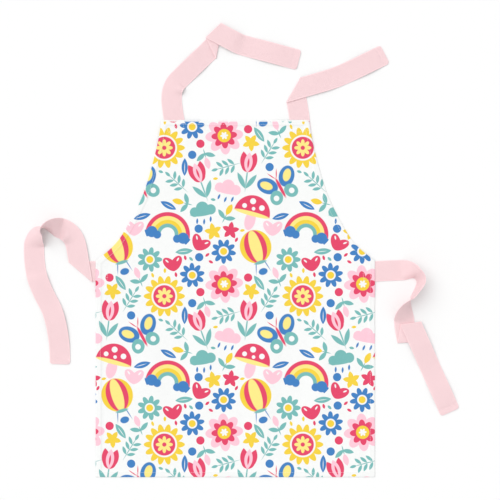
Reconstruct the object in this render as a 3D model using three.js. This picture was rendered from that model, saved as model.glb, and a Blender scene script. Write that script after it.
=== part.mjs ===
// A kids apron laid face up on a table: one hemmed cotton panel, with two neck straps and two waist ties
// of flat cotton tape sewn behind its corners. Millimetres, +X to the right, +Y to the bib, +Z up. The origin
// is on the table, under the middle of the panel's height.
import * as THREE from 'three';

// Panel
const PANEL_WIDTH = 480;
const PANEL_HEIGHT = 614;
const BIB_WIDTH = 254;
const ARMHOLE_DROP = 242;
const CLOTH = 1.2;
const HEM_WIDTH = 10;
const HEM_CLOTH = 2.4;
const HEM_STEP = 1.6;
const CLOTH_EDGE = 1;
const PANEL_COLUMNS = 20;
const SKIRT_ROWS = 18;
const BIB_ROWS = 14;

// Tape
const TAPE_WIDTH = 35;
const TAPE = 1.4;
const LAYER_GAP = 0.8;
const SEWN_LENGTH = 24;
const END_CORNER = 5;
const END_HEM_WIDTH = 9;
const END_HEM_EXTRA = 0.5;
const PIECE_GAP = 0.3;

// How far each strap reaches past the panel's edge, along the tape
const NECK_LEFT_LENGTH = 343;
const NECK_RIGHT_LENGTH = 221;
const WAIST_LEFT_LENGTH = 390;
const WAIST_RIGHT_LENGTH = 396;

// Where the straps leave the panel's edge: in from the bib's side, and down from the waist corner
const NECK_LEFT_INSET = 22;
const NECK_RIGHT_INSET = 16.5;
const WAIST_INSET = 18.5;

// How softly the panel comes down around the tape that lies under it
const RISE_MARGIN = 12;
const RISE_RAMP = 22;

// The mesh's steps along a tape, its lines across it, its thinner edges, the cuts that round its end's
// corners, and how much further than need be a crease's slant fades
const RUN_STEP = 14;
const BEND_STEP = 10;
const ROLL_STEP = 15;
const FOLD_STEPS = 6;
const TAPE_COLUMNS = [1, 0.5, 0, -0.5, -1];
const EDGE_THINNING = 0.7;
const END_CORNER_CUTS = [0.6, 0.3, 0.1, 0];
const CREASE_EASE = 1.25;

// The armhole's curve: how far down its drop, and how far out of the bib's side to the skirt's
const ARMHOLE = [
  { drop: 0, flare: 0 },
  { drop: 0.1, flare: 0.03 },
  { drop: 0.23, flare: 0.09 },
  { drop: 0.48, flare: 0.241 },
  { drop: 0.63, flare: 0.377 },
  { drop: 0.83, flare: 0.618 },
  { drop: 0.92, flare: 0.784 },
  { drop: 1, flare: 1 },
];

// Low ripples in the panel. Across and up are from the hem's middle, as shares of the panel's width and
// height; long and wide are half extents as shares of its height; height is a share of its height; turn
// is the ridge's direction from upright.
const RIPPLES = [
  { across: -0.3, up: 0.27, long: 0.23, wide: 0.055, turn: 7, height: 0.0036 },
  { across: -0.12, up: 0.33, long: 0.27, wide: 0.05, turn: 3, height: 0.0026 },
  { across: 0.1, up: 0.25, long: 0.2, wide: 0.06, turn: -5, height: 0.0033 },
  { across: 0.31, up: 0.29, long: 0.22, wide: 0.055, turn: -9, height: 0.0038 },
  { across: -0.05, up: 0.78, long: 0.15, wide: 0.05, turn: 14, height: 0.0024 },
  { across: 0.13, up: 0.72, long: 0.14, wide: 0.045, turn: -12, height: 0.0026 },
];

// The straps, row by row from the panel's edge. A run is as long as its share of the strap's free length,
// or its number of tape widths. Over it the tape bends flat, rolls about its own line and ends at a lift,
// all in degrees but the lift, which counts tape layers above the table. Ruck is how far the inner edge
// of a tight bend stands up, as a share of the tape's width, plus for the left edge. A fold lays the tape
// over itself on a slanted crease and turns it; 180 would be straight back.
const NECK_LEFT = [
  { run: 0.075, bend: -2 },
  { run: 0.065, bend: -11 },
  { run: 0.105, bend: -43, ruck: -0.16 },
  { run: 0.135, lift: 0.9 },
  { widths: 0.6 },
  { widths: 0.95 },
  { fold: 71 },
  { widths: 0.56, lift: 1 },
  { fold: -143 },
  { widths: 1.1, lift: 2 },
  { run: 0.065, bend: 13 },
  { run: 0.16, lift: 1.2 },
  { run: 0.165, bend: 1 },
];
const NECK_RIGHT = [
  { widths: 1.5, bend: 9 },
  { fold: -89 },
  { widths: 1.45, lift: 1 },
  { run: 0.31, bend: 8 },
  { run: 0.315, bend: 2, lift: 1.2 },
  { run: 0.29, bend: 1 },
];
const WAIST_LEFT = [
  { widths: 0.74 },
  { fold: -81 },
  { widths: 1.1, bend: 1, lift: 1 },
  { run: 0.06, bend: 8, lift: 0.5 },
  { run: 0.16, bend: 56, ruck: 0.14 },
  { widths: 0.75, bend: 25, roll: -78 },
  { widths: 0.4, bend: 45, roll: -54 },
  { widths: 0.8, bend: 35, roll: -48 },
  { run: 0.195, bend: 11 },
  { run: 0.06, bend: 9, lift: 1.1 },
  { run: 0.2, bend: 10, lift: 0.4 },
  { run: 0.15, bend: -15, lift: 1.3 },
  { run: 0.35, bend: -16 },
];
const WAIST_RIGHT = [
  { run: 0.25, bend: -2 },
  { widths: 0.7, bend: -35, roll: 60 },
  { widths: 0.6, bend: -84, roll: 16 },
  { widths: 0.75, bend: -9, roll: 12 },
  { widths: 1.2, bend: 40, roll: 92 },
  { run: 0.195, bend: 12 },
  { fold: 155 },
  { widths: 0.9, lift: 1 },
  { fold: -147 },
  { widths: 1, lift: 2 },
  { run: 0.275 },
  { run: 0.24, lift: 1 },
  { run: 0.18 },
];

const WAIST_HEIGHT = PANEL_HEIGHT - ARMHOLE_DROP;
const TAPE_PITCH = TAPE + LAYER_GAP;
const HALF_TAPE = TAPE_WIDTH / 2;

const STRAPS = {
  neck_strap_left: {
    rows: NECK_LEFT,
    length: NECK_LEFT_LENGTH,
    x: -BIB_WIDTH / 2 + NECK_LEFT_INSET,
    y: PANEL_HEIGHT,
    heading: 100,
  },
  neck_strap_right: {
    rows: NECK_RIGHT,
    length: NECK_RIGHT_LENGTH,
    x: BIB_WIDTH / 2 - NECK_RIGHT_INSET,
    y: PANEL_HEIGHT,
    heading: 96,
  },
  waist_tie_left: {
    rows: WAIST_LEFT,
    length: WAIST_LEFT_LENGTH,
    x: -PANEL_WIDTH / 2,
    y: WAIST_HEIGHT - WAIST_INSET,
    heading: 180,
  },
  waist_tie_right: {
    rows: WAIST_RIGHT,
    length: WAIST_RIGHT_LENGTH,
    x: PANEL_WIDTH / 2,
    y: WAIST_HEIGHT - WAIST_INSET,
    heading: 4,
  },
};

const radians = (degrees) => (degrees * Math.PI) / 180;
const mix = (a, b, t) => a + (b - a) * t;
const ease = (t) => t * t * (3 - 2 * t);
const clamp01 = (t) => Math.min(1, Math.max(0, t));

// A smooth curve through a table's rows, carried on straight past its last row
function curveThrough(rows, key, value, at) {
  const slope = (i) => {
    const a = rows[Math.max(i - 1, 0)];
    const b = rows[Math.min(i + 1, rows.length - 1)];
    return (b[value] - a[value]) / (b[key] - a[key]);
  };
  const last = rows.length - 1;
  if (at >= rows[last][key]) {
    return { value: rows[last][value] + slope(last) * (at - rows[last][key]), slope: slope(last) };
  }
  let i = 0;
  while (i < last - 1 && rows[i + 1][key] < at) i += 1;
  const span = rows[i + 1][key] - rows[i][key];
  const t = (at - rows[i][key]) / span;
  const p = rows[i][value];
  const q = rows[i + 1][value];
  const m = slope(i) * span;
  const n = slope(i + 1) * span;
  const a = 2 * p - 2 * q + m + n;
  const b = 3 * q - 3 * p - 2 * m - n;
  return { value: ((a * t + b) * t + m) * t + p, slope: ((3 * a * t + 2 * b) * t + m) / span };
}

// Half the panel's width at a height, drawn in from its edge by a distance square to that edge
function halfWidth(y, inset) {
  const side = PANEL_WIDTH / 2 - inset;
  const flare = (PANEL_WIDTH - BIB_WIDTH) / 2;
  const armhole = curveThrough(ARMHOLE, 'drop', 'flare', (PANEL_HEIGHT - y) / ARMHOLE_DROP);
  const slope = (armhole.slope * flare) / ARMHOLE_DROP;
  return Math.min(side, BIB_WIDTH / 2 + armhole.value * flare - inset * Math.hypot(1, slope));
}

// How far a point lies outside the tape sewn behind the panel's edge
function distanceToSewnTape(strap, x, y) {
  const forward = [Math.cos(radians(strap.heading)), Math.sin(radians(strap.heading))];
  const along = (x - strap.x) * forward[0] + (y - strap.y) * forward[1];
  const across = (y - strap.y) * forward[0] - (x - strap.x) * forward[1];
  const past = Math.max(0, -SEWN_LENGTH - along, along - TAPE_WIDTH);
  return Math.hypot(past, Math.max(0, Math.abs(across) - HALF_TAPE));
}

// The height of the panel's underside: over the straps' sewn ends, and in low ripples
function underside(x, y) {
  let height = 0;
  for (const strap of Object.values(STRAPS)) {
    const far = distanceToSewnTape(strap, x, y) - RISE_MARGIN;
    height = Math.max(height, (TAPE + PIECE_GAP) * ease(clamp01(1 - far / RISE_RAMP)));
  }
  for (const ripple of RIPPLES) {
    const dx = x - ripple.across * PANEL_WIDTH;
    const dy = y - ripple.up * PANEL_HEIGHT;
    const c = Math.cos(radians(ripple.turn));
    const s = Math.sin(radians(ripple.turn));
    const along = (dy * c - dx * s) / (ripple.long * PANEL_HEIGHT);
    const across = (dx * c + dy * s) / (ripple.wide * PANEL_HEIGHT);
    const near = Math.max(0, 1 - along * along - across * across);
    height += ripple.height * PANEL_HEIGHT * near * near;
  }
  return height;
}

const evenly = (from, to, count) => Array.from({ length: count + 1 }, (_, i) => mix(from, to, i / count));

// The panel's lines from one edge inwards: its edge, its round, and both sides of the hem's inner step
const HEM_LINES = [0, CLOTH_EDGE, HEM_WIDTH - HEM_STEP / 2, HEM_WIDTH + HEM_STEP / 2];

function panelRows() {
  const inside = HEM_LINES[HEM_LINES.length - 1];
  const corner = WAIST_HEIGHT - HEM_WIDTH / 2;
  return [
    ...HEM_LINES.slice(0, -1),
    ...evenly(inside, WAIST_HEIGHT, SKIRT_ROWS),
    corner,
    ...evenly(WAIST_HEIGHT, PANEL_HEIGHT - inside, BIB_ROWS).slice(1),
    ...HEM_LINES.slice(0, -1).reverse().map((inset) => PANEL_HEIGHT - inset),
  ].sort((a, b) => a - b);
}

function apronPanel() {
  const top = [];
  const bottom = [];
  for (const y of panelRows()) {
    const sides = HEM_LINES.map((inset) => halfWidth(y, inset));
    const inner = sides[sides.length - 1];
    const columns = [
      ...sides.slice(0, -1).map((x) => -x),
      ...evenly(-inner, inner, PANEL_COLUMNS),
      ...sides.slice(0, -1).reverse(),
    ];
    const fromEnd = Math.min(y, PANEL_HEIGHT - y);
    const topRow = [];
    const bottomRow = [];
    columns.forEach((x, i) => {
      const line = Math.min(i, columns.length - 1 - i, HEM_LINES.length - 1);
      const inset = Math.min(HEM_LINES[line], fromEnd);
      const thickness = inset < HEM_WIDTH ? HEM_CLOTH : CLOTH;
      const z = underside(x, y);
      topRow.push([x, y, z + (inset === 0 ? thickness * EDGE_THINNING : thickness)]);
      bottomRow.push([x, y, z]);
    });
    top.push(topRow);
    bottom.push(bottomRow);
  }
  return sheetSolid(top, bottom);
}

// One cut across the tape: its middle, its three directions, its slant and how far the tape is rolled
function cutAcross(tape, slant, extra = {}) {
  const heading = radians(tape.heading);
  const roll = radians(tape.roll);
  const forward = new THREE.Vector3(Math.cos(heading), Math.sin(heading), 0);
  const planLeft = new THREE.Vector3(-forward.y, forward.x, 0);
  const up = new THREE.Vector3(0, 0, 1);
  const left = planLeft.clone().multiplyScalar(Math.cos(roll)).addScaledVector(up, Math.sin(roll));
  const face = up.clone().multiplyScalar(Math.cos(roll)).addScaledVector(planLeft, -Math.sin(roll));
  const raised = Math.abs(Math.sin(roll)) * HALF_TAPE;
  const middle = new THREE.Vector3(tape.x, tape.y, TAPE / 2 + tape.lift * TAPE_PITCH + raised);
  return { middle, forward, left, face, slant, at: tape.at, roll, ruck: 0, ...extra };
}

// The slant of the crease that turns the tape by so much
const creaseSlant = (turn, roll) => Math.sign(Math.cos(radians(roll))) / Math.tan(radians(turn / 2));

// A crease's slant at some distance from it
const fade = (slant, distance, reach) => (reach > 0 ? slant * clamp01(1 - distance / reach) : 0);

// A run of tape from one crease, or none, to the next
function addRun(cuts, tape, row, length, slants) {
  const { bend = 0, roll = 0, lift = 0, ruck = 0 } = row;
  const steps = Math.ceil(
    Math.max(length / RUN_STEP, Math.abs(bend) / BEND_STEP, Math.abs(roll) / ROLL_STEP, 1),
  );
  const start = { ...tape };
  const reach = slants.map((slant) => Math.abs(slant) * HALF_TAPE * CREASE_EASE);
  const crowded = reach[0] + reach[1] > length;
  for (let i = 1; i <= steps; i += 1) {
    const t = i / steps;
    const halfway = radians(start.heading + bend * (t - 0.5 / steps));
    tape.x += (Math.cos(halfway) * length) / steps;
    tape.y += (Math.sin(halfway) * length) / steps;
    tape.at += length / steps;
    tape.heading = start.heading + bend * t;
    tape.roll = start.roll + roll * t;
    tape.lift = mix(start.lift, lift, ease(t));
    const slant = crowded
      ? mix(slants[0], slants[1], t)
      : fade(slants[0], t * length, reach[0]) + fade(slants[1], (1 - t) * length, reach[1]);
    cuts.push(cutAcross(tape, slant, { ruck: ruck * Math.sin(Math.PI * t) ** 2 }));
  }
}

// A crease: the tape turns over about a slanted line, up and onto itself
function addFold(cuts, tape, turn) {
  const slant = creaseSlant(turn, tape.roll);
  const start = cutAcross(tape, slant);
  const angle = Math.atan(slant);
  const out = start.forward.clone().multiplyScalar(Math.cos(angle));
  out.addScaledVector(start.left, -Math.sin(angle));
  const up = new THREE.Vector3(0, 0, 1);
  const spin = new THREE.Vector3().crossVectors(out, up);
  const radius = TAPE_PITCH / 2;
  for (let i = 1; i <= FOLD_STEPS; i += 1) {
    const angleNow = (Math.PI * i) / FOLD_STEPS;
    const middle = start.middle.clone().addScaledVector(out, radius * Math.sin(angleNow));
    middle.addScaledVector(up, radius * (1 - Math.cos(angleNow)));
    const turned = (v) => v.clone().applyAxisAngle(spin, angleNow);
    const { at, roll } = start;
    const forward = turned(start.forward);
    const left = turned(start.left);
    const face = turned(start.face);
    cuts.push({ middle, forward, left, face, slant, at, roll, ruck: 0 });
  }
  const end = cuts[cuts.length - 1];
  tape.x = end.middle.x;
  tape.y = end.middle.y;
  tape.heading += turn;
  tape.roll += 180;
  tape.lift += 1;
}

function tapeCuts(strap) {
  const widths = strap.rows.reduce((sum, row) => sum + (row.widths || 0), 0);
  const free = strap.length - widths * TAPE_WIDTH;
  const shares = strap.rows.reduce((sum, row) => sum + (row.run || 0), 0);
  const back = radians(strap.heading + 180);
  const tape = {
    x: strap.x + Math.cos(back) * SEWN_LENGTH,
    y: strap.y + Math.sin(back) * SEWN_LENGTH,
    heading: strap.heading,
    roll: 0,
    lift: 0,
    at: 0,
  };
  const cuts = [cutAcross(tape, 0)];
  addRun(cuts, tape, {}, SEWN_LENGTH, [0, 0]);
  strap.rows.forEach((row, i) => {
    if (row.fold) {
      addFold(cuts, tape, row.fold);
      return;
    }
    const before = strap.rows[i - 1];
    const after = strap.rows[i + 1];
    const slants = [
      before && before.fold ? cuts[cuts.length - 1].slant : 0,
      after && after.fold ? creaseSlant(after.fold, tape.roll + (row.roll || 0)) : 0,
    ];
    const length = row.widths ? row.widths * TAPE_WIDTH : (row.run / shares) * free;
    addRun(cuts, tape, row, length, slants);
  });
  return roundedEnd(cuts, tape);
}

// The free end is turned under and stitched, with soft corners: closer cuts there, narrower and thicker
function roundedEnd(cuts, tape) {
  const end = tape.at;
  const kept = cuts.filter((cut) => cut.at < end - END_HEM_WIDTH - HEM_STEP);
  const insets = [
    END_HEM_WIDTH + HEM_STEP / 2,
    END_HEM_WIDTH - HEM_STEP / 2,
    ...END_CORNER_CUTS.map((share) => share * END_CORNER),
  ];
  for (const inset of insets) {
    const heading = radians(tape.heading);
    const here = {
      ...tape,
      x: tape.x - Math.cos(heading) * inset,
      y: tape.y - Math.sin(heading) * inset,
      at: end - inset,
    };
    const short = Math.max(0, END_CORNER - inset);
    const narrowing = END_CORNER - Math.sqrt(END_CORNER ** 2 - short ** 2);
    const thickening = inset < END_HEM_WIDTH ? END_HEM_EXTRA : 0;
    kept.push(cutAcross(here, 0, { narrowing, thickening }));
  }
  return kept;
}

// The tape's two faces, cut by cut, and the solid between them
function tapeSolid(strap) {
  const front = [];
  const back = [];
  for (const cut of tapeCuts(strap)) {
    const { narrowing = 0, thickening = 0 } = cut;
    const half = HALF_TAPE - narrowing;
    const flip = Math.sign(Math.cos(cut.roll)) || 1;
    const frontRow = [];
    const backRow = [];
    for (const across of TAPE_COLUMNS) {
      const middle = cut.middle.clone().addScaledVector(cut.left, across * half);
      middle.addScaledVector(cut.forward, across * half * cut.slant);
      const inner = (1 + Math.sign(cut.ruck) * across * flip) / 2;
      middle.z += Math.abs(cut.ruck) * TAPE_WIDTH * inner * inner;
      const thickness = (TAPE / 2) * (Math.abs(across) === 1 ? EDGE_THINNING : 1);
      const lower = cut.face.z >= 0 ? thickness : thickness + thickening;
      const upper = cut.face.z >= 0 ? thickness + thickening : thickness;
      frontRow.push(middle.clone().addScaledVector(cut.face, upper).toArray());
      backRow.push(middle.clone().addScaledVector(cut.face, -lower).toArray());
    }
    front.push(frontRow);
    back.push(backRow);
  }
  return sheetSolid(front, back);
}

// Two grids of points, the outer face and the inner, closed all round their rim
function sheetSolid(front, back) {
  const rows = front.length;
  const columns = front[0].length;
  const points = [...front.flat(), ...back.flat()];
  const at = (side, j, i) => side * rows * columns + j * columns + i;
  const triangles = [];
  const quad = (a, b, c, d) => triangles.push(a, b, c, a, c, d);
  for (let j = 0; j < rows - 1; j += 1) {
    for (let i = 0; i < columns - 1; i += 1) {
      quad(at(0, j, i), at(0, j, i + 1), at(0, j + 1, i + 1), at(0, j + 1, i));
      quad(at(1, j, i), at(1, j + 1, i), at(1, j + 1, i + 1), at(1, j, i + 1));
    }
  }
  const rim = [];
  for (let i = 0; i < columns - 1; i += 1) rim.push([0, i]);
  for (let j = 0; j < rows - 1; j += 1) rim.push([j, columns - 1]);
  for (let i = columns - 1; i > 0; i -= 1) rim.push([rows - 1, i]);
  for (let j = rows - 1; j > 0; j -= 1) rim.push([j, 0]);
  rim.forEach((here, n) => {
    const next = rim[(n + 1) % rim.length];
    quad(at(1, ...here), at(1, ...next), at(0, ...next), at(0, ...here));
  });
  const geometry = new THREE.BufferGeometry();
  geometry.setAttribute('position', new THREE.Float32BufferAttribute(points.flat(), 3));
  geometry.setIndex(triangles);
  return geometry;
}

const PANEL_COLOUR = 0xf6f3ee;
const TAPE_COLOUR = 0xfadadd;
const CLOTH_ROUGHNESS = 0.85;

function addPiece(group, name, geometry, color) {
  geometry.translate(0, -PANEL_HEIGHT / 2, 0);
  const material = new THREE.MeshStandardMaterial({ color, roughness: CLOTH_ROUGHNESS, metalness: 0 });
  geometry.computeVertexNormals();
  const mesh = new THREE.Mesh(geometry, material);
  mesh.name = name;
  group.add(mesh);
}

const group = new THREE.Group();
addPiece(group, 'apron_panel', apronPanel(), PANEL_COLOUR);
for (const [name, strap] of Object.entries(STRAPS)) {
  addPiece(group, name, tapeSolid(strap), TAPE_COLOUR);
}

export default group;
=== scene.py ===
"""A kids apron laid face up on a pale studio floor: one hemmed panel of printed cotton, with two neck
straps and two waist ties of flat cotton tape sewn behind its corners.

Metres, +X to the right, +Y to the bib, +Z up. Shapes are worked out with Y from the hem, and set down with
the panel's middle over the origin. The print is a plain tossed pattern of garden and sky motifs."""

import math
from collections import namedtuple

import bpy
from mathutils import Matrix, Vector, noise


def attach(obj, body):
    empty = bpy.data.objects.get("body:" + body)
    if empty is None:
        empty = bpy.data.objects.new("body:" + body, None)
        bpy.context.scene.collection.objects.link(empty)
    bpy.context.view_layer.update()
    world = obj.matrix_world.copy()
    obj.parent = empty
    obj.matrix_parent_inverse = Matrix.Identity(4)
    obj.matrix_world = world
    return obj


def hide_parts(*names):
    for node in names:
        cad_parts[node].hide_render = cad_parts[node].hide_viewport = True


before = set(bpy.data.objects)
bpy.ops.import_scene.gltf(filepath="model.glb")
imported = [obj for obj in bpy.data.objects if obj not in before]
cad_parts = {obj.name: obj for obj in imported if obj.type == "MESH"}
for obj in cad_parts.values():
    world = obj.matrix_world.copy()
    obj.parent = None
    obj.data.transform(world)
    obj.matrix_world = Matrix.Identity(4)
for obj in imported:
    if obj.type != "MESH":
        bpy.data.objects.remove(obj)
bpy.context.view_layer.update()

bl_info = {
    "name": "Kids Apron",
    "version": (1, 0, 0),
    "blender": (4, 5, 0),
    "location": "View3D > Sidebar > Apron",
    "description": "Builds a kids apron of printed cotton with four folded tapes, and a stage for it",
    "category": "Object",
}

MM = 0.001

# The armhole's curve: how far down its drop, and how far out of the bib's side to the skirt's
Armhole = namedtuple("Armhole", "drop flare")
ARMHOLE = [
    Armhole(0, 0),
    Armhole(0.1, 0.03),
    Armhole(0.23, 0.09),
    Armhole(0.48, 0.241),
    Armhole(0.63, 0.377),
    Armhole(0.83, 0.618),
    Armhole(0.92, 0.784),
    Armhole(1, 1),
]

# Low ripples in the panel. Across and up are from the hem's middle, as shares of the panel's width and
# height; long and wide are half extents as shares of its height; turn is in degrees from upright.
Ripple = namedtuple("Ripple", "across up long wide turn height")
RIPPLES = [
    Ripple(-0.3, 0.27, 0.23, 0.055, 7, 0.0036),
    Ripple(-0.12, 0.33, 0.27, 0.05, 3, 0.0026),
    Ripple(0.1, 0.25, 0.2, 0.06, -5, 0.0033),
    Ripple(0.31, 0.29, 0.22, 0.055, -9, 0.0038),
    Ripple(-0.05, 0.78, 0.15, 0.05, 14, 0.0024),
    Ripple(0.13, 0.72, 0.14, 0.045, -12, 0.0026),
]

# The straps, row by row from the panel's edge. A run is as long as its share of the strap's free length,
# or its number of tape widths. Over it the tape bends flat, rolls about its own line and ends at a lift,
# all in degrees but the lift, which counts tape layers above the table. Ruck is how far the inner edge
# of a tight bend stands up, as a share of the tape's width. A fold lays the tape over itself on a slanted
# crease and turns it.
NECK_LEFT = [
    {"run": 0.075, "bend": -2},
    {"run": 0.065, "bend": -11},
    {"run": 0.105, "bend": -43, "ruck": -0.16},
    {"run": 0.135, "lift": 0.9},
    {"widths": 0.6},
    {"widths": 0.95},
    {"fold": 71},
    {"widths": 0.56, "lift": 1},
    {"fold": -143},
    {"widths": 1.1, "lift": 2},
    {"run": 0.065, "bend": 13},
    {"run": 0.16, "lift": 1.2},
    {"run": 0.165, "bend": 1},
]
NECK_RIGHT = [
    {"widths": 1.5, "bend": 9},
    {"fold": -89},
    {"widths": 1.45, "lift": 1},
    {"run": 0.31, "bend": 8},
    {"run": 0.315, "bend": 2, "lift": 1.2},
    {"run": 0.29, "bend": 1},
]
WAIST_LEFT = [
    {"widths": 0.74},
    {"fold": -81},
    {"widths": 1.1, "bend": 1, "lift": 1},
    {"run": 0.06, "bend": 8, "lift": 0.5},
    {"run": 0.16, "bend": 56, "ruck": 0.14},
    {"widths": 0.75, "bend": 25, "roll": -78},
    {"widths": 0.4, "bend": 45, "roll": -54},
    {"widths": 0.8, "bend": 35, "roll": -48},
    {"run": 0.195, "bend": 11},
    {"run": 0.06, "bend": 9, "lift": 1.1},
    {"run": 0.2, "bend": 10, "lift": 0.4},
    {"run": 0.15, "bend": -15, "lift": 1.3},
    {"run": 0.35, "bend": -16},
]
WAIST_RIGHT = [
    {"run": 0.25, "bend": -2},
    {"widths": 0.7, "bend": -35, "roll": 60},
    {"widths": 0.6, "bend": -84, "roll": 16},
    {"widths": 0.75, "bend": -9, "roll": 12},
    {"widths": 1.2, "bend": 40, "roll": 92},
    {"run": 0.195, "bend": 12},
    {"fold": 155},
    {"widths": 0.9, "lift": 1},
    {"fold": -147},
    {"widths": 1, "lift": 2},
    {"run": 0.275},
    {"run": 0.24, "lift": 1},
    {"run": 0.18},
]

# Which way each strap leaves the panel's edge, in degrees from +X
HEADINGS = {"neck_strap_left": 100, "neck_strap_right": 96, "waist_tie_left": 180, "waist_tie_right": 4}

# The tossed print: each motif's radius in millimetres, and where its copies in each ink lie in one repeat,
# in millimetres across and up and in degrees of turn
MOTIF_RADIUS = {
    "rainbow": 40.5, "balloon": 41, "sun": 36.5, "tulip": 35, "butterfly": 37, "mushroom": 34,
    "blossom": 33.5, "daisy": 22.5, "heart": 19, "cloud": 26, "sprig": 25, "sprout": 19, "star": 15.5,
    "leaf": 15.5, "dot": 7.6, "speck": 4.6,
}
Spot = namedtuple("Spot", "across up turn")
PRINT = {
    ("rainbow", "raspberry"): [Spot(125, 126, -12)],
    ("balloon", "yellow"): [Spot(38, 79, 17)],
    ("sun", "yellow"): [Spot(116, 4, 0)],
    ("tulip", "raspberry"): [Spot(178, 203, 20), Spot(21, 220, -7)],
    ("butterfly", "blue"): [Spot(77, 192, 28)],
    ("mushroom", "raspberry"): [Spot(29, 148, -15)],
    ("blossom", "pink"): [Spot(219, 25, 5)],
    ("daisy", "blue"): [Spot(164, 40, 12), Spot(218, 81, 70)],
    ("daisy", "teal"): [Spot(91, 67, 40)],
    ("heart", "raspberry"): [Spot(131, 59, 9), Spot(177, 94, -29)],
    ("heart", "pink"): [Spot(64, 120, -4)],
    ("cloud", "teal"): [Spot(182, 148, 9)],
    ("cloud", "pink"): [Spot(224, 186, -11)],
    ("sprig", "teal"): [Spot(136, 201, 48), Spot(59, 0, -32), Spot(221, 226, 105)],
    ("sprout", "yellow"): [Spot(224, 146, -28), Spot(147, 165, 76)],
    ("sprout", "pink"): [Spot(72, 37, 21), Spot(188, 240, -164)],
    ("star", "raspberry"): [Spot(230, 117, 10)],
    ("star", "yellow"): [Spot(27, 13, -14), Spot(200, 115, 30)],
    ("leaf", "blue"): [Spot(151, 226, -1), Spot(123, 160, 63), Spot(78, 141, -74)],
    ("leaf", "teal"): [Spot(150, 81, -84), Spot(41, 27, 35)],
    ("dot", "blue"): [Spot(175, 120, 0), Spot(164, 247, 0), Spot(176, 71, 0), Spot(59, 226, 0)],
    ("dot", "raspberry"): [Spot(22, 36, 0), Spot(178, 11, 0)],
    ("speck", "yellow"): [Spot(96, 40, 20), Spot(12, 117, 100), Spot(117, 48, 0), Spot(204, 206, 95)],
    ("speck", "raspberry"): [
        Spot(196, 63, 60), Spot(136, 41, 10), Spot(2, 101, 150), Spot(190, 75, 130), Spot(152, 70, 15),
    ],
    ("speck", "teal"): [Spot(162, 68, 45), Spot(200, 170, 80), Spot(110, 218, 70)],
}


def linear(code):
    """A colour written as six hex digits, as the linear red, green and blue that Blender uses"""
    shares = [int(code[i : i + 2], 16) / 255 for i in (0, 2, 4)]
    return tuple(s / 12.92 if s <= 0.04045 else ((s + 0.055) / 1.055) ** 2.4 for s in shares)


def length(name, description, millimetres):
    """A size of the sidebar's, given in millimetres and kept in metres"""
    return bpy.props.FloatProperty(
        name=name, description=description, default=millimetres * MM, min=0, unit="LENGTH", precision=4
    )


def colour(name, description, code):
    """A colour of the sidebar's, given as six hex digits"""
    return bpy.props.FloatVectorProperty(
        name=name, description=description, default=linear(code), min=0, max=1, size=3, subtype="COLOR"
    )


class ApronPanelSizes(bpy.types.PropertyGroup):
    """The printed panel"""

    width: length("Width", "Across the skirt, hem to hem", 480)
    height: length("Height", "From the skirt's hem to the bib's", 614)
    bib_width: length("Bib width", "Across the bib's top", 254)
    armhole_drop: length("Armhole drop", "From the bib's top down to the waist corners", 242)
    cloth: length("Cloth", "Thickness of one layer, nap and all", 0.6)
    hem_width: length("Hem width", "How far the edge is turned under", 10)
    hem_cloth: length("Hem cloth", "Thickness of the turned hem", 1.4)
    bare_edge: length("Bare edge", "Plain cloth that shows above the print on the bib's hem", 3)
    repeat_across: length("Repeat across", "Width of one repeat of the print", 238)
    repeat_up: length("Repeat up", "Height of one repeat of the print", 255)


class ApronTapeSizes(bpy.types.PropertyGroup):
    """The tape that the straps are cut from, and how far each strap reaches past the panel"""

    width: length("Width", "Across the tape", 35)
    thickness: length("Thickness", "Of the tape", 1.0)
    layer_gap: length("Layer gap", "Air between two layers of folded tape", 0.8)
    sewn: length("Sewn length", "How much of each strap lies behind the panel", 24)
    end_corner: length("End corner", "Radius of the free end's corners", 5)
    end_hem: length("End hem", "How far the free end is turned under", 9)
    neck_left: length("Neck, left", "Length of the left neck strap", 343)
    neck_right: length("Neck, right", "Length of the right neck strap", 221)
    waist_left: length("Waist, left", "Length of the left waist tie", 390)
    waist_right: length("Waist, right", "Length of the right waist tie", 396)
    neck_left_inset: length("Left neck inset", "From the bib's side to the strap's middle", 22)
    neck_right_inset: length("Right neck inset", "From the bib's side to the strap's middle", 16.5)
    waist_inset: length("Waist inset", "From the waist corner down to the tie's middle", 18.5)


class ApronStitchSizes(bpy.types.PropertyGroup):
    """The rows of machine stitches"""

    pitch: length("Pitch", "From one stitch to the next", 3.1)
    gap: length("Gap", "Between two stitches", 0.6)
    thread: length("Thread", "Thickness of the thread", 0.32)
    hem_inset: length("Hem inset", "From the panel's edge in to the hem's stitches", 8)
    box_margin: length("Box margin", "From the sewn tape's edges in to its box of stitches", 3.5)


class ApronColours(bpy.types.PropertyGroup):
    """Cloth, tape, thread and inks"""

    ground: colour("Ground", "The panel's bleached cotton", "F3F4F3")
    tape: colour("Tape", "The straps", "FADADD")
    raspberry: colour("Raspberry", "Ink", "E2486A")
    yellow: colour("Yellow", "Ink", "F2D043")
    pale_yellow: colour("Pale yellow", "Ink", "F9E788")
    blue: colour("Blue", "Ink", "4380C0")
    teal: colour("Teal", "Ink", "77B8B5")
    pink: colour("Pink", "Ink", "FBC8D6")


class ApronStageSizes(bpy.types.PropertyGroup):
    """The camera's view from straight above"""

    view: length("View", "How much of the floor the picture's side takes in", 860)
    across: length("Across", "The picture's middle, to the right of the panel's", 25.3)
    up: length("Up", "The picture's middle, above the panel's", 83.4)
    lens: bpy.props.FloatProperty(
        name="Lens", description="Focal length", default=85, min=10, subtype="DISTANCE_CAMERA"
    )


def mix(a, b, t):
    return a + (b - a) * t


def clamp01(t):
    return min(1.0, max(0.0, t))


def ease(t):
    """A soft start and a soft stop, from 0 to 1"""
    return t * t * (3 - 2 * t)


def evenly(start, end, count):
    """Numbers at even steps, both ends with them"""
    return [mix(start, end, i / count) for i in range(count + 1)]


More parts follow.
